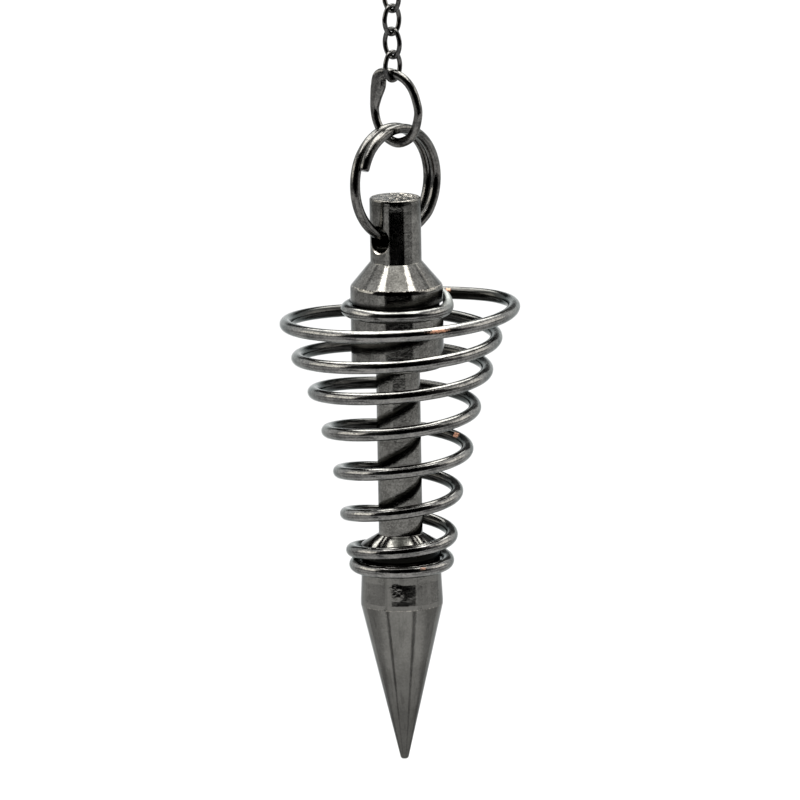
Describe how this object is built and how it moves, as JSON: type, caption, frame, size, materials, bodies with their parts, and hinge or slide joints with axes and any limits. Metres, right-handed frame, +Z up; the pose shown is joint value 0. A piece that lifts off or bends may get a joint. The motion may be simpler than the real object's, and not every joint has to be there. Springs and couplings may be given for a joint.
{
  "type": "pendulum pendant",
  "caption": "Turned pointed weight inside a conical wire spiral, hung by its drilled neck from a split ring, a pear-shaped ring and a short cable chain.",
  "frame": {"origin": "inside top of the first chain link, where the pendulum hangs", "axes": "+Z up along the hanging line, -Y towards the viewer of the picture, +X to the viewer's right"},
  "size_m": [0.0266, 0.0257, 0.088],
  "materials": {
    "chain": "black nickel plated, polished",
    "rings": "black nickel plated, polished, worn",
    "weight": "turned and gunmetal plated, mottled and scuffed",
    "spiral": "gunmetal plated wire, polished, copper showing at worn spots"
  },
  "bodies": {
    "chain": {"chain_link_1": "chain", "chain_link_2": "chain", "chain_link_3": "chain", "chain_link_4": "chain"},
    "pear": {"pear_ring": "rings"},
    "ring": {"split_ring": "rings"},
    "weight": {"weight_body": "weight", "spiral_wire": "spiral"}
  },
  "joints": [
    {"name": "pear_swing", "type": "hinge", "parent": "chain", "child": "pear", "pos_m": [0, 0, -0.01066], "axis": [0.7071, 0.7071, 0], "range_deg": [-60, 60]},
    {"name": "ring_swing", "type": "hinge", "parent": "pear", "child": "ring", "pos_m": [0, 0, -0.01764], "axis": [0.866, -0.5, 0], "range_deg": [-60, 60]},
    {"name": "weight_swing", "type": "hinge", "parent": "ring", "child": "weight", "pos_m": [0, 0, -0.02825], "axis": [0.682, 0.7314, 0], "range_deg": [-75, 75]}
  ]
}
